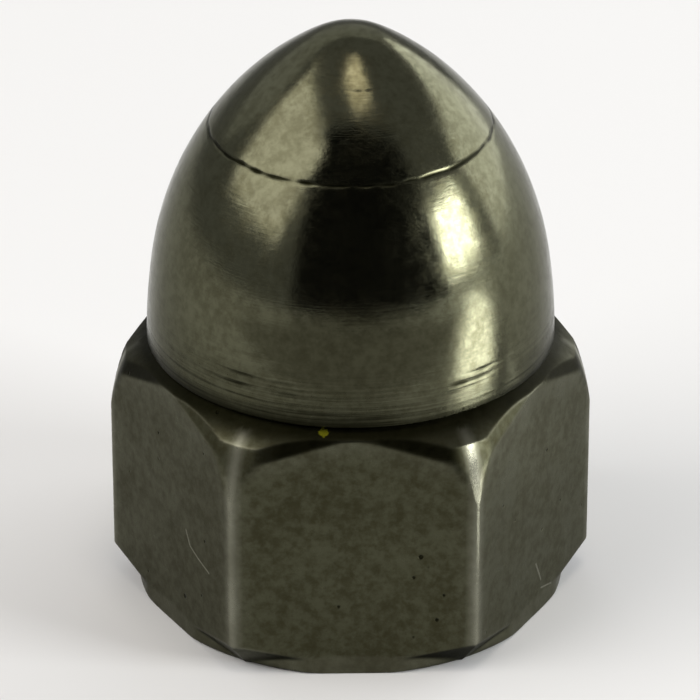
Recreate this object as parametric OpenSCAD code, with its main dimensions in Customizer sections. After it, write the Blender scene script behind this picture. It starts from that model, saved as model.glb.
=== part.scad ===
// Cap nut: a hexagon nut with a tall domed end over a blind threaded hole.
// It stands on its bearing face: the origin is the centre of that face, the
// nut's axis is +Z, and two of the six flats face +Y and -Y.
// The thread is shown as its tapping-drill hole.

/* [Hexagon] */
// Wrench size, flat to flat
across_flats = 13; // [11:0.1:17]
// Height of a flat at its middle, above the bearing face
flat_h = 8.15; // [6.5:0.05:10]
// Rounding of the six upright corners
corner_round_r = 0.3; // [0.1:0.05:0.5]
// Drop from the flats' height to where the corners start to fall in
crest_drop = 3; // [2:0.1:4]
// Radius of the arc by which they fall in towards the dome
crest_round_r = 6.7; // [5:0.1:9]
// Slope of the chamfer that the dome rises from
top_chamfer_angle = 38; // [30:1:45]

/* [Bearing end] */
// How far the round collar at the foot of the hexagon stands out from the flats
collar_reach = 0.18; // [0.1:0.02:0.3]
// Radius of the collar's rim
rim_r = 0.15; // [0.05:0.05:0.2]

/* [Rolled corners] */
// Height over a flat's middle at which the two halves of its upper edge would meet
upper_edge_peak = 0.1; // [0:0.02:0.2]
// Fall of those halves towards the corners, as an angle
upper_edge_fall = 17; // [12:1:24]
// Lean of the facet over each half
upper_facet_lean = 24; // [10:1:30]
// Height of a flat's lower edge at its middle, where the collar covers it
lower_edge_h = 0.2; // [0.1:0.05:0.5]
// Rise of its two halves towards the corners, as an angle
lower_edge_rise = 12; // [8:1:16]
// Lean of the facet under each half
lower_facet_lean = 40; // [20:1:45]

/* [Dome] */
// Height of the dome above the flats
dome_h = 10.65; // [8.5:0.05:12.8]
// How far the dome's foot is set in from the flats
dome_set_in = 0.2; // [0.1:0.05:0.5]
// Radius of the long arc at the foot of the dome
foot_arc_r = 18; // [13.5:0.5:24]
// Angle through which that arc turns
foot_arc_angle = 9; // [4:0.5:11]
// Radius of the nose
nose_r = 2.4; // [1.5:0.1:3]
// Depth of the groove between the dome and the hexagon
neck_depth = 0.18; // [0.1:0.02:0.3]
// Gap between the dome's foot and the chamfer below it
neck_gap = 0.18; // [0.08:0.01:0.25]

/* [Turned line] */
// Drop from the tip to the line that the lathe left round the dome
line_drop = 3.2; // [2:0.1:5]
// Width of the line
line_w = 0.1; // [0.06:0.02:0.2]
// Depth of the line
line_depth = 0.05; // [0.02:0.01:0.1]

/* [Threaded hole] */
// Tapping drill of the thread, M8 x 1.25
bore_d = 6.8; // [5:0.1:8.2]
// Depth of the full bore
bore_depth = 12.5; // [8:0.5:15]
// Point angle of the drill
drill_point_angle = 118; // [90:1:142]
// How far the countersink at the mouth is wider than the bore, each side
countersink_w = 0.8; // [0.4:0.1:1.2]
// Included angle of the countersink
countersink_angle = 90; // [60:5:120]

/* [Hidden] */
$fn = 96;

overall_h = flat_h + dome_h;
flat_r = across_flats / 2;
// Angle between neighbouring points on a corner's rounding
corner_step = 15;
// Distance from the axis to a corner, before it is rounded
corner_r = flat_r / cos(30);
crest_fall_h = flat_h - crest_drop;
bearing_r = flat_r + collar_reach;
dome_r = flat_r - dome_set_in;
neck_r = dome_r - neck_depth;
bore_r = bore_d / 2;
countersink_r = bore_r + countersink_w;
// How far a cutting shape runs past what it cuts
run_out = 1;

// Height of the upper chamfer where it reaches radius r
function top_chamfer_z(r) = flat_h - (r - flat_r) * tan(top_chamfer_angle);

foot_z = top_chamfer_z(dome_r) + neck_gap;
// Top of the groove's narrow upright floor
neck_floor = 0.03;
neck_top_z = top_chamfer_z(neck_r) + neck_floor;

// The dome's outline is three arcs, each tangent to the next. The foot arc
// starts upright at the foot, the nose is centred on the axis, and the
// shoulder arc is the one that touches both.
foot_centre = [dome_r - foot_arc_r, foot_z];
foot_dir = [cos(foot_arc_angle), sin(foot_arc_angle)];
foot_end = foot_centre + foot_arc_r * foot_dir;
nose_centre = [0, overall_h - nose_r];
to_nose = nose_centre - foot_end;
shoulder_r = (to_nose * to_nose - pow(nose_r, 2)) / (-2 * (to_nose * foot_dir + nose_r));
shoulder_centre = foot_end - shoulder_r * foot_dir;
nose_dir = (nose_centre - shoulder_centre) / norm(nose_centre - shoulder_centre);
shoulder_end = nose_centre + nose_r * nose_dir;

// Direction in which the shoulder faces at the height of the turned line
line_angle = asin((overall_h - line_drop - shoulder_centre.y) / shoulder_r);
line_point = shoulder_centre + shoulder_r * [cos(line_angle), sin(line_angle)];

// The band of a disc between two heights, on the +X side of the axis
module arc_band(centre, r, low, high) {
    intersection() {
        translate(centre) circle(r);
        translate([0, low]) square([across_flats, high - low]);
    }
}

// Half section of the dome, down to the groove that parts it from the hexagon.
// Each arc's disc lies inside the one before it, so their bands overlap.
module dome_section() {
    arc_band(foot_centre, foot_arc_r, foot_z, foot_end.y);
    arc_band(shoulder_centre, shoulder_r, foot_z, shoulder_end.y);
    arc_band(nose_centre, nose_r, nose_centre.y, overall_h);
    polygon([[0, flat_h], [neck_r, flat_h], [neck_r, neck_top_z],
        [dome_r, foot_z], [0, foot_end.y]]);
}

// Half section of what the lathe turned on the hexagon: the upper chamfer, and
// the corners, which fall in towards the dome
module turned_section() {
    intersection() {
        polygon([[0, 0], [corner_r, 0], [corner_r, top_chamfer_z(corner_r)],
            [neck_r, top_chamfer_z(neck_r)], [0, top_chamfer_z(neck_r)]]);
        union() {
            square([across_flats, crest_fall_h]);
            arc_band([corner_r - crest_round_r, crest_fall_h], crest_round_r, 0, overall_h);
        }
    }
}

// Half section of the collar, with its rounded rim. It runs up inside the
// hexagon, and shows only where the corners' lower facets bare it.
module collar_section() {
    square([bearing_r - rim_r, crest_fall_h]);
    arc_band([bearing_r - rim_r, rim_r], rim_r, 0, 2 * rim_r);
    translate([0, rim_r]) square([bearing_r, crest_fall_h - rim_r]);
}

// Hexagon with rounded corners, each an arc from one flat round to the next
module hexagon_section() {
    arc_centre_r = (flat_r - corner_round_r) / cos(30);
    polygon([for (corner = [0 : 60 : 300], turn = [-30 : corner_step : 30])
        arc_centre_r * [cos(corner), sin(corner)]
            + corner_round_r * [cos(corner + turn), sin(corner + turn)]]);
}

// Cutting blocks for the twelve facets at one end of the flats. Each facet
// starts at the middle of a flat, at this height, and falls towards a corner.
module corner_facets(height, fall, lean) {
    for (turn = [30 : 60 : 330], side = [-1, 1])
        rotate(turn) translate([flat_r, 0, height])
            rotate([-side * fall, 0, 0]) rotate([0, -lean, 0])
                translate([0, -across_flats, -across_flats])
                    cube([across_flats, 2 * across_flats, 2 * across_flats]);
}

// The hexagon with everything that was turned and rolled on it
module hexagon_body() {
    intersection() {
        linear_extrude(height = neck_top_z) hexagon_section();
        union() {
            difference() {
                rotate_extrude() turned_section();
                corner_facets(flat_h + upper_edge_peak, upper_edge_fall, upper_facet_lean);
                mirror([0, 0, 1])
                    corner_facets(-lower_edge_h, lower_edge_rise, lower_facet_lean);
            }
            rotate_extrude() collar_section();
        }
    }
}

// V-shaped cut that leaves the turned line
module line_cut() {
    rotate_extrude() translate(line_point) rotate(line_angle)
        polygon([[-line_depth, 0], [line_depth, -line_w], [line_depth, line_w]]);
}

// The drilled hole: countersunk mouth, bore and drill point
module threaded_hole() {
    sink_slope = tan(countersink_angle / 2);
    translate([0, 0, -run_out])
        cylinder(r1 = countersink_r + run_out * sink_slope, r2 = bore_r,
            h = run_out + (countersink_r - bore_r) / sink_slope);
    translate([0, 0, -run_out]) cylinder(r = bore_r, h = bore_depth + run_out);
    translate([0, 0, bore_depth])
        cylinder(r1 = bore_r, r2 = 0, h = bore_r / tan(drill_point_angle / 2));
}

module cap_nut() {
    color([0.42, 0.41, 0.36]) difference() {
        union() {
            hexagon_body();
            rotate_extrude() dome_section();
        }
        line_cut();
        threaded_hole();
    }
}

cap_nut();
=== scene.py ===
import math

import bmesh
import bpy
import numpy as np
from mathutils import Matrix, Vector


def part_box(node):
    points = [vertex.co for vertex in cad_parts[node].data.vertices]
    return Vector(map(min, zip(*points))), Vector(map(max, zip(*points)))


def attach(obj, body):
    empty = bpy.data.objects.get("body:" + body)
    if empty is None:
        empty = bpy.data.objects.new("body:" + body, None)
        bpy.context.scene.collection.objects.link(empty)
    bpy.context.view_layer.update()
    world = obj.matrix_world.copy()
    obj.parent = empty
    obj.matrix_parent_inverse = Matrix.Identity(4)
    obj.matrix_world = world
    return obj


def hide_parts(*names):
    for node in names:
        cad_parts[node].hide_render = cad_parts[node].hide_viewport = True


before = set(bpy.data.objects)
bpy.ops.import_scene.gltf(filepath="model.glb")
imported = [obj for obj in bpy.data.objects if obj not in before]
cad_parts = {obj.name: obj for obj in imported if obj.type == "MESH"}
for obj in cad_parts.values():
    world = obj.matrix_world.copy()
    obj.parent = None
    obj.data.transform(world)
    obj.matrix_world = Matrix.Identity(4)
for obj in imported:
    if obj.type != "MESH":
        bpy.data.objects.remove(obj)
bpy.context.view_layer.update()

# The nut is worked out in millimetres, and its vertices are written in metres.
# Its axis is +Z. Angles are in degrees, and an azimuth on the nut runs from +X
# towards +Y, so the front flat is at -90. A "path" is the nut's outline in a half
# plane through the axis, as rows of (distance from the axis, height, turned,
# painted shade), where turned is 1 on what the lathe cut and 0 on what was rolled,
# and painted shade is 1 where dark colour stands in for shade.
MM = 0.001
NUT_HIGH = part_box("cap_nut")[1]

# Hexagon
FLAT_R = NUT_HIGH.y / MM  # from the axis to a flat
FLAT_H = 8.15  # height of a flat at its middle
CORNER_ROUND_R = 0.3
CORNER_R = FLAT_R / math.cos(math.radians(30))  # to a corner before its rounding
CREST_Z = FLAT_H - 3  # where the corners start to fall in towards the dome
CREST_ROUND_R = 6.7
TOP_CHAMFER = 38
UPPER_EDGE_Z = FLAT_H + 0.1  # where the rolled edges over a flat would meet
UPPER_FALL, UPPER_LEAN = 17, 24
LOWER_EDGE_Z = 0.2  # and where the ones under it do
LOWER_RISE, LOWER_LEAN = 12, 40

# Collar at the foot of the hexagon, and the hole
BEARING_R = FLAT_R + 0.18
RIM_R = 0.15
MOUTH_BEVEL = 0.04
BORE_DEPTH = 12.5
DRILL_POINT = 118
PITCH = 1.25  # M8 thread
MINOR_R = 3.4
MAJOR_R = 4.0
THREAD_END = 11.7
THREAD_RUN_OUT = 1.2
THREAD_ROUNDING = 0.025  # of its edges, as a share of the pitch
DRILL_POINT_ROWS = (0, 0.02, 0.5, 1)  # shares of the drill point's depth
COUNTERSINK_R = MINOR_R + 0.8

# Dome: a long foot arc, a shoulder arc and the nose, each tangent to the next
TIP_Z = NUT_HIGH.z / MM
DOME_R = FLAT_R - 0.2
NECK_R = DOME_R - 0.18
NECK_GAP = 0.18
NECK_FLOOR = 0.03
NECK_Z = FLAT_H - (NECK_R - FLAT_R) * math.tan(math.radians(TOP_CHAMFER))
FOOT_ARC_R, FOOT_ARC = 18, 9
NOSE_R = 2.4

# Marks round the dome: height, half width, depth, and the azimuth where the mark
# is deepest, with its spread
TURNED_LINE = (TIP_Z - 3.2, 0.06, 0.014, -90, 1000)
FOOT_MARKS = [
    (9.84, 0.060, 0.007, -121, 16),
    (9.50, 0.065, 0.009, -119, 17),
    (9.66, 0.045, 0.004, -108, 9),
    (9.75, 0.050, 0.008, -50, 7),
    (9.52, 0.060, 0.009, -56, 9),
    (9.31, 0.055, 0.008, -59, 9),
    (9.62, 0.055, 0.008, 40, 24),
    (9.36, 0.060, 0.010, 118, 20),
    (17.74, 0.030, 0.005, -81, 12)]
MARK_REACH = 2.5  # how many half widths each way get extra rows of vertices
MARK_WANDER, MARK_WAVES = 0.25, 30  # how far it strays up and down, in half widths
STRENGTH_CHANGE, STRENGTH_WAVES = 0.45, 50  # how much its depth comes and goes
STRENGTH_RANGE = (0.15, 1.6)
LEAST_CLIMB = 0.2  # of the surface, so that the mark near the tip doesn't spread
# The surface lies this far inside the true one, and waves about that depth
WAVE_SINK, WAVE_DEPTH = 0.004, 0.002
WAVE_LENGTHS, WAVE_COUNT = (1.2, 3.0), 30

# Painted shade is 1 where it hides the steel: on the rolled facets, the chamfer and
# the crest. Out over the chamfer it thins from 1, at the first radius, to the edge's
# share at the second. A corner's turned crest has no painted shade up to the first of
# these angles off the corner, and full painted shade from the second.
CHAMFER_SHADE_R = (6.4, 6.95)
CHAMFER_EDGE_SHADE = 0.45
CREST_UNSHADED_TURN = (1.7, 2.9)
# Painted shade at the dome's foot fades up the dome in two layers, each with its share and its
# height
FOOT_SHADE, FOOT_SHADE_H = 0.7, 0.6
FOOT_WIDE_SHADE, FOOT_WIDE_SHADE_H = 0.3, 1.6
LINE_DARKENING = 1.1  # darkening in the marks' grooves, at the turned line's full depth
# The hole has some painted shade all over, and counts as turned
HOLE_VALUES = {"painted_shade_and_grooves": 0.35, "turned": 1.0}
HOLLOW_BEND = 12  # inward bend, in radians for each millimetre, that gets full painted shade
# Where the light falls, painted shade is lifted and painted glints are brighter: azimuth, half
# width in degrees, and how much
LIT_CHAMFER = [(-121, 9, 0.75), (-49, 10, 0.5)]
LIT_FACETS = [(-137, 15.5, 0.9), (-43, 15.5, 0.9)]
LIT_FOOT = (-58, 22, 0.5)
LIT_CHAMFER_R = (6.60, 6.90)  # from its shaded inside to its lit rim
# The upper facets face up less than the chamfer does, and don't face down
FACET_FACING, FACING_DOWN = (0.45, 0.75), -0.1
# Wear and painted highlights: the half width in degrees of the painted highlight band
# on a corner and the height where it starts, the duller border inside a flat's edges,
# the painted reflection on the bearing end up to a height, and the painted glints on
# the sharp edges, brighter where the light falls
CORNER_HIGHLIGHT_TURN = 1.6
CORNER_FOOT_Z = 0.9
BORDER_W, BORDER_WEAR = 0.5, 0.16
COLLAR_SHEEN_H, COLLAR_SHEEN = 0.6, 0.22
EDGE_GLINT, LIT_EDGE_GLINT = 0.15, 0.70
EDGE_BEND = 8  # outward bend of an edge that gets the full painted glint
# On a flat, named by its azimuth: scratches from one (distance off the flat's middle,
# height) to another, and pits as (distance, height, radius)
SCRATCHES = [
    (-150, (1.03, 3.77), (1.27, 3.32)),
    (-150, (1.27, 3.32), (1.75, 3.12)),
    (-150, (1.75, 3.12), (2.42, 2.93)),
    (-30, (0.14, 1.85), (0.50, 1.10)),
    (-30, (0.52, 0.80), (1.20, 0.62))]
SCRATCH_W = 0.09
PITS = [
    (-150, 0.90, 1.34, 0.10),
    (-150, 2.20, 3.95, 0.07),
    (-150, 1.95, 1.90, 0.06),
    (-150, -0.60, 6.40, 0.06),
    (-90, 2.02, 4.13, 0.10),
    (-90, 2.52, 1.90, 0.08),
    (-30, 0.74, 5.61, 0.07),
    (-30, 1.71, 3.35, 0.05)]
# The place and radius of a yellow speck stuck in the groove over the front flat
SPECK, SPECK_R = (-0.87, -6.21, 8.33), 0.17

# Mesh
STEP = 0.01  # between the points of a dense path
SIDE_POINTS, ARC_POINTS, OUTLINE_POINTS = 3000, 800, 3001
EDGE_SOFTNESS = 0.035  # spread of the average that rounds the edges
AVERAGE_REACH = 4  # of that average each way, in spreads
SECTOR_COLUMNS = 48  # columns of vertices from one corner to the next
SIDE_ROWS, DOME_ROWS = 110, 130
ROW_STEP, ROW_BEND = 0.2, 8  # a row for each so many millimetres and degrees
MARK_ROW_STEP = 0.025
WEIGHT_TABLE = np.linspace(0, 1, 2400)
COLUMN_SMOOTHING = 6  # times that a column's rows are averaged with its neighbours'
BORE_COLUMN_SHARE = 3  # the hole has one column for each 3 outside
SAME_PLACE, NO_LENGTH = 1e-4, 1e-5  # distances that count as none

# Columns of the rows that describe the outside: the path's own four, then the
# direction in which the surface faces, and its bend in radians per millimetre
R, Z, TURNED, PAINTED_SHADE, OUT_R, OUT_Z, BEND = range(7)

MARK_SEED, WAVE_SEED = 11, 5

# Camera, lamps and cards, whose azimuths run from -Y towards +X
VIEW_AZIMUTH, VIEW_ELEVATION = -0.94, 28.45
VIEW_DISTANCE = 167.27
AIM = Vector((-0.0184, 0, 7.75))
LENS, SENSOR_WIDTH = 277.7, 36
CLIP_NEAR, CLIP_FAR = 0.01, 20  # in metres
LAMP_DISTANCE = 400
# Azimuth, elevation, width and height as the nut sees them, radiance and colour
LAMPS = {
    "left_lamp": (-73, 41, 48, 42, 2.95, (1.0, 0.95, 0.90)),
    "right_lamp": (70, 15, 24, 20, 19.0, (1.0, 1.0, 0.99)),
    "right_wall": (123, 16, 50, 31, 3.5, (1.0, 1.0, 1.0)),
    "back_wall": (-168, 36, 90, 36, 0.46, (1.0, 1.0, 1.0)),
    "top_lamp": (32, 81, 15, 18, 5.0, (1.0, 0.88, 0.74))}
ROOM_GREY = 0.37
CARD_DISTANCE = 340
DARK_CARD_AZIMUTHS, DARK_CARD_TOP = (-35, 55), 66
# Azimuth, start, end and width of the cards on the floor
GREY_CARD = (0, 26, CARD_DISTANCE, 130)
SILVER_CARD = (70, 14, 110, 17)
CARD_LIFT = 0.5
FLOOR_WIDTH = 6000
# Name, colour, roughness and metallic of the stage's materials
PALE = ("pale_floor", (0.79, 0.80, 0.81, 1), 0.60)
BLACK = ("black_card", (0.004, 0.004, 0.004, 1), 1.0)
GREY = ("grey_card", (0.40, 0.40, 0.38, 1), 1.0)
SILVER = ("silver_card", (0.62, 0.62, 0.62, 1), 0.22, 1.0)


def slope(degrees):
    return math.tan(math.radians(degrees))


def direction(azimuth, elevation):
    """Unit vector from the nut: azimuth 0 is towards -Y and 90 towards +X."""
    a = math.radians(azimuth)
    e = math.radians(elevation)
    return Vector((math.sin(a) * math.cos(e), -math.cos(a) * math.cos(e), math.sin(e)))


# ---------------------------------------------------------------- outline

def hexagon_outline(turn):
    """Distance from the axis to the upright hexagon, at an angle from a flat's middle."""
    turn = np.radians(turn)
    centre_r = (FLAT_R - CORNER_ROUND_R) / math.cos(math.radians(30))
    off_corner = math.radians(30) - turn
    under_root = CORNER_ROUND_R**2 - (centre_r * np.sin(off_corner)) ** 2
    rounded = centre_r * np.cos(off_corner) + np.sqrt(np.maximum(under_root, 0))
    on_corner = FLAT_R * np.tan(turn) > (FLAT_R - CORNER_ROUND_R) * slope(30)
    return np.where(on_corner, rounded, FLAT_R / np.cos(turn))


def facet_r(turn, gap, fall, lean):
    """Distance to a rolled facet, at a height `gap` inside a flat's edge."""
    turn = math.radians(turn)
    fall = math.radians(fall)
    reach = FLAT_R + slope(lean) * math.cos(fall) * gap
    return reach / (math.cos(turn) + slope(lean) * math.sin(fall) * math.sin(turn))


def side_rows(turn, z):
    """Path of the hexagon's side at these heights, as (r, z, turned, painted shade)."""
    flat = hexagon_outline(turn)
    over_crest = np.maximum(z - CREST_Z, 0)
    surfaces = np.stack([
        np.full_like(z, flat),
        facet_r(turn, z - LOWER_EDGE_Z, LOWER_RISE, LOWER_LEAN),
        facet_r(turn, UPPER_EDGE_Z - z, UPPER_FALL, UPPER_LEAN),
        CORNER_R - CREST_ROUND_R + np.sqrt(CREST_ROUND_R**2 - over_crest**2),
        FLAT_R + (FLAT_H - z) / slope(TOP_CHAMFER)])
    innermost = surfaces.argmin(axis=0)
    body = surfaces.min(axis=0)
    in_rim = np.maximum(RIM_R - z, 0)
    collar = BEARING_R - RIM_R + np.sqrt(RIM_R**2 - in_rim**2)
    collar = np.where(z < CREST_Z, np.minimum(collar, flat), 0)
    on_collar = collar > body
    r = np.maximum(body, collar)
    # Painted shade: full on the rolled facets, thinning out over the chamfer, and on the crest
    # away from the corner
    chamfer_shade = np.interp(r, CHAMFER_SHADE_R, [1, CHAMFER_EDGE_SHADE])
    crest_shade = np.interp(30 - turn, CREST_UNSHADED_TURN, [0, 1])
    painted_shade_and_grooves = np.choose(innermost, [0, 1, 1, crest_shade, chamfer_shade])
    turned = np.isin(innermost, [3, 4]) | on_collar
    return np.column_stack([r, z, turned, np.where(on_collar, 0, painted_shade_and_grooves)])


def top_chamfer_z(r):
    """Height of the upper chamfer at this distance from the axis."""
    return FLAT_H - (r - FLAT_R) * slope(TOP_CHAMFER)


def side_path(turn):
    """From the countersink across the bearing face, up the side and in to the neck."""
    side = side_rows(turn, np.linspace(0, NECK_Z, SIDE_POINTS))
    clean_rim = (side[0, R] - EDGE_SOFTNESS, 0, 1, 0)
    return np.concatenate([[(COUNTERSINK_R + MOUTH_BEVEL, 0, 1, 0), clean_rim], side])


def arc(centre, r, start, end):
    """A turned arc with no painted shade, as rows of a path."""
    angle = np.radians(np.linspace(start, end, ARC_POINTS))
    one = np.ones_like(angle)
    return np.column_stack([
        centre[0] + r * np.cos(angle), centre[1] + r * np.sin(angle), one, 0 * one])


def dome_path():
    """From the top of the chamfer, through the neck's groove and up over the tip."""
    foot_z = top_chamfer_z(DOME_R) + NECK_GAP
    foot_centre = np.array([DOME_R - FOOT_ARC_R, foot_z])
    out = np.array([math.cos(math.radians(FOOT_ARC)), math.sin(math.radians(FOOT_ARC))])
    foot_end = foot_centre + FOOT_ARC_R * out
    nose_centre = np.array([0, TIP_Z - NOSE_R])
    to_nose = nose_centre - foot_end
    shoulder_r = (to_nose @ to_nose - NOSE_R**2) / (-2 * (to_nose @ out + NOSE_R))
    shoulder_centre = foot_end - shoulder_r * out
    nose_start = math.degrees(math.atan2(*(nose_centre - shoulder_centre)[::-1]))
    past_axis = 95
    return np.concatenate([
        # The neck's groove gets full painted shade.
        [(NECK_R, NECK_Z, 1, 1)],
        [(NECK_R, NECK_Z + NECK_FLOOR, 1, 1)],
        arc(foot_centre, FOOT_ARC_R, 0, FOOT_ARC),
        arc(shoulder_centre, shoulder_r, FOOT_ARC, nose_start),
        arc(nose_centre, NOSE_R, nose_start, past_axis)])


def length_along(path):
    """Length of the path up to each of its points."""
    steps = np.linalg.norm(np.diff(path[:, :2], axis=0), axis=1)
    return np.concatenate([[0], np.cumsum(steps)])


def evenly(path):
    """The same path with its points STEP apart."""
    length = length_along(path)
    places = np.arange(0, length[-1], STEP)
    return np.column_stack([np.interp(places, length, values) for values in path.T])


def softened(path):
    """The path with its edges rounded, by an average along its length."""
    reach = int(AVERAGE_REACH * EDGE_SOFTNESS / STEP)
    before = 2 * path[0] - path[reach:0:-1]
    after = 2 * path[-1] - path[-2:-reach - 2:-1]
    padded = np.concatenate([before, path, after])
    kernel = np.exp(-0.5 * (np.arange(-reach, reach + 1) * STEP / EDGE_SOFTNESS) ** 2)
    kernel /= kernel.sum()
    return np.column_stack([np.convolve(values, kernel, "valid") for values in padded.T])


def heading(path):
    """Direction of travel along a path, in radians."""
    across, up = np.gradient(path[:, :2], axis=0).T
    return np.unwrap(np.arctan2(up, across))


def row_weight(path, extra=0):
    """How many rows each point of a dense path asks for, at WEIGHT_TABLE even places."""
    bend = np.abs(np.gradient(heading(path)))
    weight = np.gradient(length_along(path)) / ROW_STEP + bend / math.radians(ROW_BEND) + extra
    share = np.interp(WEIGHT_TABLE, np.linspace(0, 1, len(path)), np.cumsum(weight))
    return np.gradient(share / share[-1])


def smoothed(weights):
    """Weight tables of neighbouring columns, evened out so that the rows run smoothly."""
    for _ in range(COLUMN_SMOOTHING):
        padded = np.concatenate([weights[1:2], weights, weights[-2:-1]])
        weights = (padded[:-2] + 2 * padded[1:-1] + padded[2:]) / 4
    return weights


def places(path, count, weight):
    """Places of count + 1 points on a dense path, closer where the weight is higher."""
    share = np.cumsum(weight)
    share = (share - share[0]) / (share[-1] - share[0])
    even = np.interp(np.linspace(0, 1, count + 1), share, WEIGHT_TABLE)
    return even * (len(path) - 1)


def picked(path, where):
    """Rows of the outside at those places."""
    facing = heading(path)
    values = np.column_stack([
        path, np.sin(facing), -np.cos(facing), np.gradient(facing) / STEP])
    index = np.arange(len(path))
    return np.column_stack([np.interp(where, index, column) for column in values.T])


def mark_rows(path):
    """Extra weight that puts rows closer together at the lathe's marks."""
    extra = np.zeros(len(path))
    for height, half_width, *_ in [TURNED_LINE, *FOOT_MARKS]:
        near = np.abs(path[:, 1] - height) < MARK_REACH * half_width
        extra = np.maximum(extra, near * STEP / MARK_ROW_STEP)
    return extra


def dense_paths(turn):
    """The side and the dome as dense paths, at an angle from a flat's middle."""
    side = side_path(turn)
    path = softened(evenly(np.concatenate([side, dome_path()])))
    split = int(length_along(side)[-1] / STEP)
    path = path[:split + np.argmax(path[split:, R] < 0)]
    return path[:split + 1], path[split:]


def meridians(turns):
    """Rows of the outside at each angle: those of the side, then those of the dome."""
    paths = [dense_paths(turn) for turn in turns]
    side_weights = smoothed(np.stack([row_weight(side) for side, _ in paths]))
    columns = []
    for (side, dome), weight in zip(paths, side_weights):
        lower_rows = picked(side, places(side, SIDE_ROWS, weight))[:-1]
        dome_weight = row_weight(dome, mark_rows(dome))
        dome_rows = picked(dome, places(dome, DOME_ROWS, dome_weight))
        dome_rows[-1, R] = 0
        columns.append(np.concatenate([lower_rows, dome_rows]))
    return np.stack(columns, axis=1)


def column_turns():
    """Angles of the columns from a flat's middle to a corner, closer on its rounding."""
    turn = np.linspace(0, 30, OUTLINE_POINTS)
    r = hexagon_outline(turn)
    outline = np.column_stack([r * np.cos(np.radians(turn)), r * np.sin(np.radians(turn))])
    where = places(outline, SECTOR_COLUMNS // 2, row_weight(outline))
    return np.interp(where, np.arange(len(turn)), turn)


# ---------------------------------------------------------------- surface marks

def wander(azimuth, waves, seed):
    """A smooth random curve round the nut, from about -1 to 1."""
    chance = np.random.default_rng(seed)
    total = np.zeros_like(azimuth)
    for count in range(1, waves + 1):
        total += chance.normal() * np.cos(count * azimuth + chance.uniform(0, 2 * np.pi))
    return total / math.sqrt(waves)


def ripple(points, shortest, longest, waves, seed):
    """A smooth random value at each point, from about -1 to 1."""
    chance = np.random.default_rng(seed)
    total = np.zeros(points.shape[:-1])
    for _ in range(waves):
        way = chance.normal(size=3)
        way *= 2 * np.pi / chance.uniform(shortest, longest) / np.linalg.norm(way)
        total += np.sin(points @ way + chance.uniform(0, 2 * np.pi))
    return total / math.sqrt(waves)


def round_by(azimuth, middle):
    """Degrees round the axis from the azimuth `middle`, from -180 to 180."""
    return np.mod(np.degrees(azimuth) - middle + 180, 360) - 180


def spot(azimuth, middle, half_width, strength):
    """A patch round an azimuth, this strong at its middle, with soft sides."""
    return strength * np.exp(-(round_by(azimuth, middle) / half_width) ** 4)


def mark_depth(rows, azimuth):
    """Depth of the turned line and of the marks over the dome's foot."""
    height = rows[..., Z]
    on_dome = height > NECK_Z
    depth = np.zeros_like(height)
    for number, (z, half_width, deep, middle, spread_by) in enumerate([TURNED_LINE, *FOOT_MARKS]):
        seed = MARK_SEED + 10 * number
        level = z + MARK_WANDER * half_width * wander(azimuth, MARK_WAVES, seed)
        change = STRENGTH_CHANGE * wander(azimuth, STRENGTH_WAVES, seed + 1)
        strength = np.clip(1 + change, *STRENGTH_RANGE)
        strength *= np.exp(-(round_by(azimuth, middle) / spread_by) ** 2)
        climb = np.maximum(rows[..., OUT_R], LEAST_CLIMB)
        away = (height - level) / climb / half_width
        depth += on_dome * deep * strength * np.exp(-away**2)
    return depth


def around(rows, azimuth, r, z):
    """Points at these columns of the rows, turned round the axis."""
    return np.stack([
        rows[..., r] * np.cos(azimuth), rows[..., r] * np.sin(azimuth), rows[..., z]], axis=-1)


def lit_edges(rows, azimuth):
    """1 where the light falls on the upper facets and the chamfer's outer edge, which lifts their
    painted shade and brightens their painted glints.
    """
    chamfer = np.interp(rows[..., R], LIT_CHAMFER_R, [0, 1])
    chamfer = chamfer * sum(spot(azimuth, *place) for place in LIT_CHAMFER)
    facets = np.interp(rows[..., OUT_Z], FACET_FACING, [1, 0])
    facets = facets * (rows[..., OUT_Z] > FACING_DOWN)
    facets = facets * sum(spot(azimuth, *place) for place in LIT_FACETS)
    return np.maximum(chamfer, facets)


def wear_and_highlight_of(rows, turns, azimuth):
    """1 where the steel is bright: a painted highlight on the upright corners, a border, a
    painted reflection on the collar and painted glints on the rims.
    """
    height = rows[..., Z]
    on_side = (height > CORNER_FOOT_Z) & (height < FLAT_H)
    # A painted highlight down each upright corner
    corner = np.exp(-(((30 - turns) / CORNER_HIGHLIGHT_TURN) ** 2)) * on_side
    across = FLAT_R * np.tan(np.radians(turns))
    under_edge = UPPER_EDGE_Z - slope(UPPER_FALL) * across - height
    beside_edge = FLAT_R * slope(30) - across
    to_edge = np.maximum(np.minimum(under_edge, beside_edge), 0)
    border = BORDER_WEAR * np.exp(-((to_edge / BORDER_W) ** 2)) * on_side
    border = border * (1 - rows[..., PAINTED_SHADE])
    # A painted reflection on the collar
    collar = COLLAR_SHEEN * (height < COLLAR_SHEEN_H)
    # Painted glints on the sharp edges, brighter where the light falls
    rim = EDGE_GLINT + (LIT_EDGE_GLINT - EDGE_GLINT) * lit_edges(rows, azimuth)
    rim = rim * np.clip(rows[..., BEND] / EDGE_BEND, 0, 1) * (height < NECK_Z)
    return np.maximum.reduce([corner, border, collar, rim])


def evened(values):
    """Values averaged with those of the neighbouring columns, round the nut."""
    return (np.roll(values, 1, axis=1) + 2 * values + np.roll(values, -1, axis=1)) / 4


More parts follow.
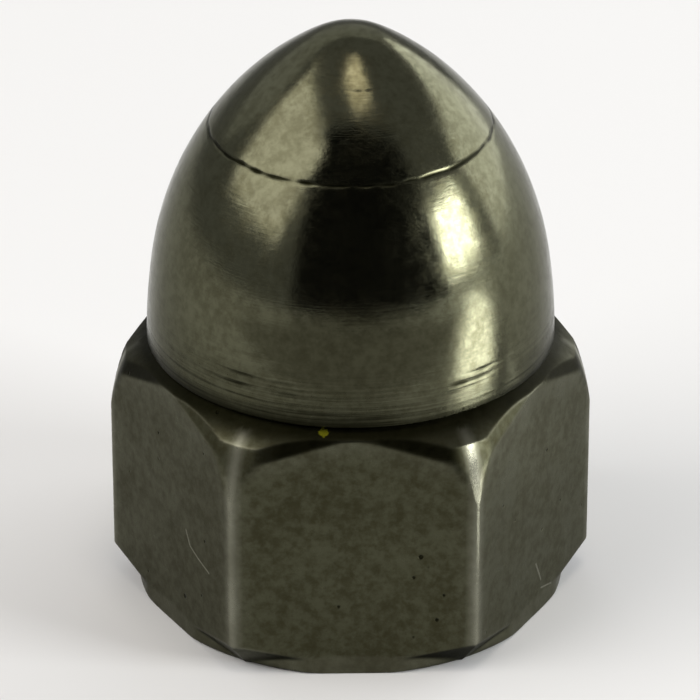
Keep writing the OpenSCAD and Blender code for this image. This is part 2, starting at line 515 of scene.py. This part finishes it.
def painted_shade_and_grooves_of(rows, marks, azimuth):
    """1 where the steel is darkened: painted shade on the rolled facets, the chamfer, the crest,
    the neck, the dome's foot and the creases, and darkening in the marks' grooves.
    """
    over_neck = rows[..., Z] - NECK_Z
    # Painted shade at the dome's foot, lifted where the light falls on it
    foot = FOOT_SHADE * np.exp(-((over_neck / FOOT_SHADE_H) ** 2))
    foot += FOOT_WIDE_SHADE * np.exp(-((over_neck / FOOT_WIDE_SHADE_H) ** 2))
    foot *= (over_neck > 0) * (1 - spot(azimuth, *LIT_FOOT))
    # Painted shade in the creases
    hollow = np.clip(-rows[..., BEND] / HOLLOW_BEND, 0, 1)
    # Darker in the grooves of the turned line and of the marks
    line_depth = TURNED_LINE[2]
    lines = np.clip(LINE_DARKENING * marks / line_depth, 0, 1)
    # Painted shade of the side's path, evened round the nut and lifted where the light falls
    side_shade = evened(rows[..., PAINTED_SHADE]) * (1 - lit_edges(rows, azimuth))
    return np.maximum.reduce([side_shade, foot, hollow, lines])


def outside():
    """Vertices and their values over the outside, as arrays of rows by columns."""
    turns = column_turns()
    half = SECTOR_COLUMNS // 2
    which = np.abs(np.arange(SECTOR_COLUMNS) - half)
    signed = np.sign(np.arange(SECTOR_COLUMNS) - half) * turns[which]
    flat_normals = 30 + 60 * np.arange(6)
    azimuth = np.radians((flat_normals[:, None] + signed[None, :]).ravel())
    rows = meridians(turns)[:, np.tile(which, 6)]
    azimuth = np.broadcast_to(azimuth, rows.shape[:2])
    points = around(rows, azimuth, R, Z)
    marks = mark_depth(rows, azimuth)
    waves = WAVE_DEPTH * ripple(points, *WAVE_LENGTHS, WAVE_COUNT, WAVE_SEED)
    sunk = np.maximum(WAVE_SINK + waves, 0) + marks
    sunk[-1] = sunk[-1].mean()
    points -= around(rows, azimuth, OUT_R, OUT_Z) * sunk[..., None]
    return points, {
        "turned": rows[..., TURNED],
        "wear_and_highlight": wear_and_highlight_of(rows, turns[np.tile(which, 6)], azimuth),
        "painted_shade_and_grooves": painted_shade_and_grooves_of(rows, marks, azimuth),
        "dome": (rows[..., Z] > NECK_Z).astype(float)}


# ---------------------------------------------------------------- hole

def thread_phases():
    """Places of the thread's rows within one pitch: two at each edge of its profile."""
    root_flat = PITCH / 8
    flank = (MAJOR_R - MINOR_R) * slope(30)
    root_edge = 0.5 - root_flat / 2 / PITCH
    crest_edge = root_edge - flank / PITCH
    rising = [
        edge + side * THREAD_ROUNDING for edge in (crest_edge, root_edge) for side in (-1, 1)]
    return rising + [1 - phase for phase in reversed(rising)]


def thread_r(z, phase):
    """Distance from the axis to the thread, which fades out before the bore's end."""
    from_root = np.abs(phase - 0.5) * PITCH - PITCH / 16
    depth = np.clip(MAJOR_R - MINOR_R - from_root / slope(30), 0, MAJOR_R - MINOR_R)
    left = np.clip((THREAD_END - z) / THREAD_RUN_OUT, 0, 1)
    countersink = COUNTERSINK_R - z
    return np.maximum(MINOR_R + depth * left, countersink)


def hole(azimuth):
    """Rows of vertices down the hole, and how many rows the thread takes for one turn."""
    phases = thread_phases()
    turns = np.arange(math.ceil(THREAD_END / PITCH) + 2)
    place = (turns[:, None] + np.array(phases)).ravel()
    phase = np.broadcast_to(np.tile(phases, len(turns))[:, None], (len(place), len(azimuth)))
    share_of_turn = np.mod(azimuth, 2 * np.pi) / (2 * np.pi)
    z = (place[:, None] - 1 + share_of_turn) * PITCH
    z = np.clip(z, MOUTH_BEVEL, THREAD_END)
    r = thread_r(z, phase)
    point_h = MINOR_R / slope(DRILL_POINT / 2)
    for share in DRILL_POINT_ROWS:
        z = np.vstack([z, np.full_like(azimuth, BORE_DEPTH + share * point_h)])
        r = np.vstack([r, np.full_like(azimuth, MINOR_R * (1 - share))])
    points = np.stack([r * np.cos(azimuth), r * np.sin(azimuth), z], axis=-1)
    return points, len(phases)


# ---------------------------------------------------------------- mesh

def quads(index):
    """Faces between the neighbours in an array of vertex numbers."""
    corners = [index[:-1, :-1], index[:-1, 1:], index[1:, 1:], index[1:, :-1]]
    return np.stack(corners, axis=-1).reshape(-1, 4).tolist()


def mouth_faces(outer, inner):
    """Faces between the bearing face's inner ring and the hole's ring, which has fewer."""
    faces = []
    for k in range(len(inner)):
        first = BORE_COLUMN_SHARE * k
        ring = [outer[(first + i) % len(outer)] for i in range(BORE_COLUMN_SHARE + 1)]
        faces.append(ring + [inner[(k + 1) % len(inner)], inner[k]])
    return faces


def hole_faces(index, azimuth, thread_turn):
    """Faces down the hole. At their seam, each turn of the thread joins the next."""
    seam = int(np.argmin(np.mod(azimuth, 2 * np.pi)))
    turned_index = np.roll(index, -seam, axis=1)
    plain_rows = len(DRILL_POINT_ROWS)
    rows = np.arange(len(index))
    next_turn = np.minimum(rows + thread_turn, len(index) - plain_rows - 1)
    next_turn[-plain_rows:] = rows[-plain_rows:]
    return quads(np.column_stack([turned_index, turned_index[next_turn, 0]]))


def write_values(mesh, values, hole_points):
    """Writes the outside's values on the mesh's points, and then the hole's own."""
    for name, value in values.items():
        layer = mesh.attributes.new(name, "FLOAT", "POINT")
        inside = np.full(hole_points, HOLE_VALUES.get(name, 0.0))
        layer.data.foreach_set("value", np.concatenate([value.ravel(), inside]))


def nut_mesh():
    """The whole nut as one closed mesh, with the values that its material reads."""
    shell, values = outside()
    azimuth = np.arctan2(shell[0, ::BORE_COLUMN_SHARE, 1], shell[0, ::BORE_COLUMN_SHARE, 0])
    bore, thread_turn = hole(azimuth)
    shell_index = np.arange(shell[..., 0].size).reshape(shell.shape[:2])
    bore_index = shell_index.size + np.arange(bore[..., 0].size).reshape(bore.shape[:2])
    faces = quads(np.column_stack([shell_index, shell_index[:, :1]]))
    faces += hole_faces(bore_index, azimuth, thread_turn)
    faces += mouth_faces(shell_index[0].tolist(), bore_index[0].tolist())
    points = np.concatenate([shell.reshape(-1, 3), bore.reshape(-1, 3)]) * MM
    mesh = bpy.data.meshes.new("cap_nut_body")
    mesh.from_pydata(points.tolist(), [], faces)
    write_values(mesh, values, bore_index.size)
    clean(mesh)
    return mesh


def clean(mesh):
    """Joins what lies in one place, and turns all faces outwards."""
    work = bmesh.new()
    work.from_mesh(mesh)
    bmesh.ops.remove_doubles(work, verts=work.verts, dist=SAME_PLACE * MM)
    bmesh.ops.dissolve_degenerate(work, edges=work.edges, dist=NO_LENGTH * MM)
    bmesh.ops.recalc_face_normals(work, faces=work.faces)
    for face in work.faces:
        face.smooth = True
    work.to_mesh(mesh)
    work.free()


# ---------------------------------------------------------------- material

class Shader:
    """A material's node tree, with a short way to add and join its nodes."""

    def __init__(self, name):
        self.material = bpy.data.materials.new(name)
        self.material.use_nodes = True
        self.tree = self.material.node_tree
        self.principled = self.tree.nodes["Principled BSDF"]

    def put(self, socket, value):
        """Links a node's output to a socket, or writes a plain value in it."""
        if isinstance(value, bpy.types.NodeSocket):
            self.tree.links.new(value, socket)
        else:
            socket.default_value = value

    def node(self, kind, settings=None, **inputs):
        """A new node, with its settings, and its inputs by name."""
        made = self.tree.nodes.new("ShaderNode" + kind)
        for name, value in (settings or {}).items():
            setattr(made, name, value)
        for name, value in inputs.items():
            self.put(made.inputs[name.replace("_", " ")], value)
        return made

    def math(self, operation, *values):
        made = self.node("Math", {"operation": operation})
        for socket, value in zip(made.inputs, values):
            self.put(socket, value)
        return made.outputs[0]

    def attribute(self, name):
        return self.node("Attribute", {"attribute_name": name}).outputs["Fac"]

    def ramp(self, value, low, high, to_low=0.0, to_high=1.0):
        """The value's range from low to high, spread smoothly over another range."""
        made = self.node("MapRange", {"interpolation_type": "SMOOTHSTEP"}, Value=value)
        made.inputs["From Min"].default_value = low
        made.inputs["From Max"].default_value = high
        made.inputs["To Min"].default_value = to_low
        made.inputs["To Max"].default_value = to_high
        return made.outputs["Result"]

    def noise(self, where, scale, detail, roughness, distortion=0.0):
        made = self.node("TexNoise", None, Vector=where, Scale=scale, Detail=detail,
            Roughness=roughness, Distortion=distortion)
        return made.outputs["Fac"]

    def blend(self, share, first, second):
        """Mix of two colours."""
        made = self.node("Mix", {"data_type": "RGBA"})
        self.put(made.inputs["Factor"], share)
        self.put(made.inputs[6], first)
        self.put(made.inputs[7], second)
        return made.outputs[2]

    def bump(self, height, distance, normal=None):
        """Bumps this many millimetres high, over any that `normal` holds already."""
        made = self.node("Bump", None, Height=height, Distance=distance * MM, Strength=1.0)
        if normal is not None:
            self.put(made.inputs["Normal"], normal)
        return made.outputs["Normal"]


# Steel's colours: the dome is polished, and the flats are duller and stained
DOME_STEEL = (0.097, 0.098, 0.063, 1)
FLAT_STEEL = (0.065, 0.066, 0.041, 1)
STAIN = (0.036, 0.034, 0.017, 1)
# Bright colour of worn steel, and of painted highlights, glints and reflections
WORN_AND_HIGHLIT = (0.195, 0.195, 0.152, 1)
# Dark colour of painted shade, of the marks' grooves and of the pits
SHADE_AND_PIT_COLOUR = (0.005, 0.005, 0.002, 1)
SPECK_YELLOW = (0.10, 0.10, 0.006, 1)
EDGE_TINT = (0.72, 0.72, 0.70, 1)  # of the light off steel seen at a low angle

# Its random patterns: fineness (cells in a millimetre), detail, roughness, distortion
PATTERNS = {
    "cloud": (0.6, 4, 0.6),
    "blotch": (2.6, 4, 0.62, 0.15),
    "fleck": (5.0, 3, 0.6),
    "grain": (16, 4, 0.7)}
LATHE_FINENESS, LATHE_PATTERN = 11, (1.0, 4, 0.7)  # fine along the outline only
PATTERN_MIDDLE = (0.35, 0.65)  # the range that most of a pattern keeps to
# Stain: how much each pattern has in it, and where their sum starts and ends
CLOUD_STAIN, BLOTCH_STAIN, FLECK_STAIN = 0.30, 0.55, 0.40
STAIN_RANGE = (0.48, 0.78)
DOME_STAIN, FLAT_STAIN = 0.50, 0.88
# Wear with painted highlights, and painted shade with darker marks: from one share to the other
# as a pattern rises
PATCHY_WEAR = (0.95, 0.60)
PATCHY_SHADE = (0.35, 0.62, 1.0, 0.94)
STREAK = 2.0  # how far the lathe's pattern shifts thin painted shade
# Scratches are brighter, and pits are darker
SCRATCH_WEAR, PIT_DARKENING = 0.8, 0.85
RAGGED_SPECK = (0.3, 0.7, -0.10, 0.10)
# Scattered pits: cells in a millimetre, the random numbers from which a cell holds
# a pit, and the distances from its floor to its rim, in cells
PIT_CELLS = 2.2
PIT_CHANCE = (0.91, 0.98)
PIT_EDGE = (0.07, 0.16)
# Roughness, and how it changes with the patterns: their range, and what it adds
DOME_ROUGHNESS, FLAT_ROUGHNESS = 0.13, 0.32
ROUGHNESS_CHANGES = {
    "grain": (0.3, 0.7, -0.03, 0.04),
    "blotch": (0.35, 0.65, -0.02, 0.04),
    "cloud": (0.35, 0.62, -0.02, 0.05)}
SHADED_ROUGHENS, WEAR_SMOOTHS = 0.20, 0.08
# Heights of the bumps, and the depth of the pits
LATHE_BUMP, BLOTCH_BUMP, GRAIN_BUMP, PIT_DEPTH = 0.0018, 0.004, 0.0012, 0.02


def lathe_place(shader, place):
    """Texture place whose pattern runs round the axis and changes along the outline."""
    flat = shader.node("VectorMath", {"operation": "MULTIPLY"}, Vector=place)
    flat.inputs[1].default_value = (1, 1, 0)
    off_axis = shader.node("VectorMath", {"operation": "LENGTH"}, Vector=flat.outputs["Vector"])
    round_axis = shader.node(
        "VectorMath", {"operation": "NORMALIZE"}, Vector=flat.outputs["Vector"])
    height = shader.node("SeparateXYZ", None, Vector=place).outputs["Z"]
    along = shader.math("SUBTRACT", height, off_axis.outputs["Value"])
    along = shader.math("MULTIPLY", along, LATHE_FINENESS)
    up = shader.node("CombineXYZ", None, Z=along)
    total = shader.node("VectorMath", {"operation": "ADD"}, Vector=up.outputs["Vector"])
    shader.put(total.inputs[1], round_axis.outputs["Vector"])
    return total.outputs["Vector"]


def pitted(shader, place):
    """1 inside a few small pits."""
    cells = shader.node("TexVoronoi", None, Vector=place, Scale=PIT_CELLS)
    chance = shader.node("SeparateColor", None, Color=cells.outputs["Color"]).outputs["Red"]
    chosen = shader.ramp(chance, *PIT_CHANCE)
    near = shader.ramp(cells.outputs["Distance"], *PIT_EDGE, 1, 0)
    return shader.math("MULTIPLY", near, chosen)


def on_flat(azimuth, across, height):
    """The point of a flat at this distance off its middle, and at this height."""
    out = Vector((math.cos(math.radians(azimuth)), math.sin(math.radians(azimuth)), 0))
    return FLAT_R * out + Vector((-out.y * across, out.x * across, height))


def near_point(shader, place, centre, radius, uneven=0.0):
    """1 at a point, and 0 from this radius on, which `uneven` values change."""
    away = shader.node("VectorMath", {"operation": "DISTANCE"}, Vector=place)
    away.inputs[1].default_value = centre
    away = shader.math("ADD", away.outputs["Value"], uneven)
    return shader.ramp(away, 0.5 * radius, radius, 1, 0)


def near_line(shader, place, start, end, width):
    """1 on the line between two points, and 0 from half this width on."""
    way = (end - start).normalized()
    past_start = shader.node("VectorMath", {"operation": "SUBTRACT"}, Vector=place)
    past_start.inputs[1].default_value = start
    past_start = past_start.outputs["Vector"]
    along = shader.node("VectorMath", {"operation": "DOT_PRODUCT"}, Vector=past_start)
    along.inputs[1].default_value = way
    along = shader.math("MAXIMUM", along.outputs["Value"], 0)
    along = shader.math("MINIMUM", along, (end - start).length)
    nearest = shader.node("VectorMath", {"operation": "SCALE"}, Vector=way, Scale=along)
    away = shader.node("VectorMath", {"operation": "DISTANCE"}, Vector=past_start)
    shader.put(away.inputs[1], nearest.outputs["Vector"])
    return shader.ramp(away.outputs["Value"], 0.2 * width, 0.5 * width, 1, 0)


def highest(shader, masks):
    """The highest of several masks, at each place."""
    total = masks[0]
    for mask in masks[1:]:
        total = shader.math("MAXIMUM", total, mask)
    return total


def steel_patterns(shader, place):
    """The random patterns that the steel's colour, roughness and bumps share."""
    patterns = {"lathe": shader.noise(lathe_place(shader, place), *LATHE_PATTERN)}
    for name, kind in PATTERNS.items():
        patterns[name] = shader.noise(place, *kind)
    return patterns


def all_pits(shader, place, dome):
    """1 in the pits listed above, and in a few scattered ones under the dome."""
    under_dome = shader.math("SUBTRACT", 1.0, dome)
    scattered = shader.math("MULTIPLY", pitted(shader, place), under_dome)
    listed = [near_point(shader, place, on_flat(*at), radius) for *at, radius in PITS]
    return highest(shader, [scattered, *listed])


def all_scratches(shader, place):
    return highest(shader, [
        near_line(shader, place, on_flat(azimuth, *start), on_flat(azimuth, *end), SCRATCH_W)
        for azimuth, start, end in SCRATCHES])


def stain_share(shader, patterns, dome):
    """Clouds and blotches of stain, fainter on the polished dome."""
    stain = shader.math("MULTIPLY", patterns["cloud"], CLOUD_STAIN)
    stain = shader.math("MULTIPLY_ADD", patterns["blotch"], BLOTCH_STAIN, stain)
    stain = shader.math("MULTIPLY_ADD", patterns["fleck"], FLECK_STAIN, stain)
    stain = shader.ramp(stain, *STAIN_RANGE)
    return shader.math("MULTIPLY", stain, shader.ramp(dome, 0, 1, FLAT_STAIN, DOME_STAIN))


def wear_and_highlight_share(shader, patterns, place):
    """Painted highlights and glints on the edges, wear, and scratches, where the metal is bright.
    """
    patches = shader.ramp(patterns["cloud"], *PATTERN_MIDDLE, *PATCHY_WEAR)
    worn_and_highlit = shader.math("MULTIPLY", shader.attribute("wear_and_highlight"), patches)
    scratch = shader.math("MULTIPLY", all_scratches(shader, place), SCRATCH_WEAR)
    return shader.math("MAXIMUM", worn_and_highlit, scratch)


def painted_shade_and_pits_share(shader, patterns, dome, pit):
    """Painted shade and the marks' darkening, which lie in streaks along the lathe's marks where
    they are thin, with darker pits.
    """
    painted_shade_and_grooves = shader.attribute("painted_shade_and_grooves")
    thin = shader.math("MULTIPLY", painted_shade_and_grooves, shader.math("SUBTRACT", 1.0, painted_shade_and_grooves))
    thin = shader.math("MULTIPLY", thin, shader.math("MULTIPLY", dome, patterns["blotch"]))
    shift = shader.ramp(patterns["lathe"], *PATTERN_MIDDLE, -STREAK, STREAK)
    streaked = shader.math("ADD", painted_shade_and_grooves, shader.math("MULTIPLY", thin, shift))
    streaked = shader.math("MINIMUM", shader.math("MAXIMUM", streaked, 0.0), 1.0)
    shaded_and_pitted = shader.math("MULTIPLY", streaked, shader.ramp(patterns["blotch"], *PATCHY_SHADE))
    return shader.math("MAXIMUM", shaded_and_pitted, shader.math("MULTIPLY", pit, PIT_DARKENING))


def speck_share(shader, patterns, place):
    ragged = shader.ramp(patterns["fleck"], *RAGGED_SPECK)
    return near_point(shader, place, SPECK, SPECK_R, ragged)


def steel_roughness(shader, patterns, dome, worn_and_highlit, shaded_and_pitted):
    rough = shader.ramp(dome, 0, 1, FLAT_ROUGHNESS, DOME_ROUGHNESS)
    for name, change in ROUGHNESS_CHANGES.items():
        rough = shader.math("ADD", rough, shader.ramp(patterns[name], *change))
    rough = shader.math("ADD", rough, shader.math("MULTIPLY", shaded_and_pitted, SHADED_ROUGHENS))
    return shader.math("SUBTRACT", rough, shader.math("MULTIPLY", worn_and_highlit, WEAR_SMOOTHS))


def steel_normal(shader, patterns, pit):
    lathe_height = shader.math("MULTIPLY", patterns["lathe"], shader.attribute("turned"))
    normal = shader.bump(lathe_height, LATHE_BUMP)
    normal = shader.bump(patterns["blotch"], BLOTCH_BUMP, normal)
    normal = shader.bump(patterns["grain"], GRAIN_BUMP, normal)
    return shader.bump(shader.math("MULTIPLY", pit, -1.0), PIT_DEPTH, normal)


def steel_material():
    shader = Shader("polished_steel")
    where = shader.node("TexCoord").outputs["Object"]
    millimetres = shader.node("VectorMath", {"operation": "SCALE"}, Vector=where, Scale=1 / MM)
    place = millimetres.outputs["Vector"]
    dome = shader.attribute("dome")
    patterns = steel_patterns(shader, place)
    pit = all_pits(shader, place, dome)
    worn_and_highlit = wear_and_highlight_share(shader, patterns, place)
    shaded_and_pitted = painted_shade_and_pits_share(shader, patterns, dome, pit)

    colour = shader.blend(dome, FLAT_STEEL, DOME_STEEL)
    colour = shader.blend(stain_share(shader, patterns, dome), colour, STAIN)
    # Painted highlights, glints and reflections, with wear and scratches
    colour = shader.blend(worn_and_highlit, colour, WORN_AND_HIGHLIT)
    # Painted shade, darker marks and darker pits
    colour = shader.blend(shaded_and_pitted, colour, SHADE_AND_PIT_COLOUR)
    colour = shader.blend(speck_share(shader, patterns, place), colour, SPECK_YELLOW)

    surface = shader.principled.inputs
    surface["Metallic"].default_value = 1.0
    surface["Specular Tint"].default_value = EDGE_TINT
    shader.put(surface["Base Color"], colour)
    shader.put(surface["Roughness"], steel_roughness(shader, patterns, dome, worn_and_highlit, shaded_and_pitted))
    shader.put(surface["Normal"], steel_normal(shader, patterns, pit))
    return shader.material


def plain_material(name, colour, roughness, metallic=0.0):
    shader = Shader(name)
    surface = shader.principled.inputs
    surface["Base Color"].default_value = colour
    surface["Roughness"].default_value = roughness
    surface["Metallic"].default_value = metallic
    return shader.material


# ---------------------------------------------------------------- object and stage

def place_object(name, data):
    made = bpy.data.objects.new(name, data)
    bpy.context.scene.collection.objects.link(made)
    return made


def make_nut():
    nut = place_object("cap_nut_body", nut_mesh())
    nut.data.materials.append(steel_material())
    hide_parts("cap_nut")
    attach(nut, "root")


def panel(name, width, height, material):
    """A flat sheet that faces +Z."""
    mesh = bpy.data.meshes.new(name)
    x, y = width / 2 * MM, height / 2 * MM
    mesh.from_pydata([(-x, -y, 0), (x, -y, 0), (x, y, 0), (-x, y, 0)], [], [(0, 1, 2, 3)])
    made = place_object(name, mesh)
    made.data.materials.append(material)
    return made


def dark_card():
    """A card that stands in front of the nut, and that only reflections show."""
    left, right = [CARD_DISTANCE * slope(azimuth) for azimuth in DARK_CARD_AZIMUTHS]
    high = CARD_DISTANCE * slope(DARK_CARD_TOP)
    card = panel("dark_card", right - left, high, plain_material(*BLACK))
    card.rotation_euler.x = math.radians(90)
    card.location = Vector(((left + right) / 2, -CARD_DISTANCE, high / 2)) * MM
    card.visible_camera = False
    card.visible_shadow = False


def floor_card(name, azimuth, start, end, width, material):
    """A card that lies on the floor away from the nut, and that only the steel shows."""
    card = panel(name, width, end - start, material)
    card.rotation_euler.z = math.radians(azimuth)
    middle = direction(azimuth, 0) * (start + end) / 2
    card.location = (middle + Vector((0, 0, CARD_LIFT))) * MM
    card.visible_camera = False
    card.visible_shadow = False
    card.visible_diffuse = False


def make_stage():
    panel("floor", FLOOR_WIDTH, FLOOR_WIDTH, plain_material(*PALE))
    dark_card()
    floor_card("grey_card", *GREY_CARD, plain_material(*GREY))
    floor_card("silver_card", *SILVER_CARD, plain_material(*SILVER))


def soft_lamp(name, azimuth, elevation, wide, high, radiance, colour):
    """A rectangular lamp that spans the given angles as the nut sees it."""
    data = bpy.data.lights.new(name, "AREA")
    data.shape = "RECTANGLE"
    data.size = 2 * LAMP_DISTANCE * slope(wide / 2) * MM
    data.size_y = 2 * LAMP_DISTANCE * slope(high / 2) * MM
    data.energy = radiance * math.pi * data.size * data.size_y
    data.color = colour
    lamp = place_object(name, data)
    towards = direction(azimuth, elevation)
    lamp.location = (towards * LAMP_DISTANCE + AIM) * MM
    lamp.rotation_mode = "QUATERNION"
    lamp.rotation_quaternion = towards.to_track_quat("Z", "Y")


def make_lights():
    for name, lamp in LAMPS.items():
        soft_lamp(name, *lamp)
    world = bpy.data.worlds.new("studio")
    world.use_nodes = True
    background = world.node_tree.nodes["Background"]
    background.inputs["Color"].default_value = (ROOM_GREY, ROOM_GREY, ROOM_GREY, 1)
    background.inputs["Strength"].default_value = 1.0
    bpy.context.scene.world = world


def make_camera():
    data = bpy.data.cameras.new("camera")
    data.lens = LENS
    data.sensor_width = SENSOR_WIDTH
    data.clip_start = CLIP_NEAR
    data.clip_end = CLIP_FAR
    camera = place_object("camera", data)
    back = direction(VIEW_AZIMUTH, VIEW_ELEVATION)
    camera.location = (AIM + back * VIEW_DISTANCE) * MM
    camera.rotation_mode = "QUATERNION"
    camera.rotation_quaternion = back.to_track_quat("Z", "Y")
    bpy.context.scene.camera = camera


make_nut()
make_stage()
make_lights()
make_camera()
bpy.context.scene.view_settings.view_transform = "Standard"
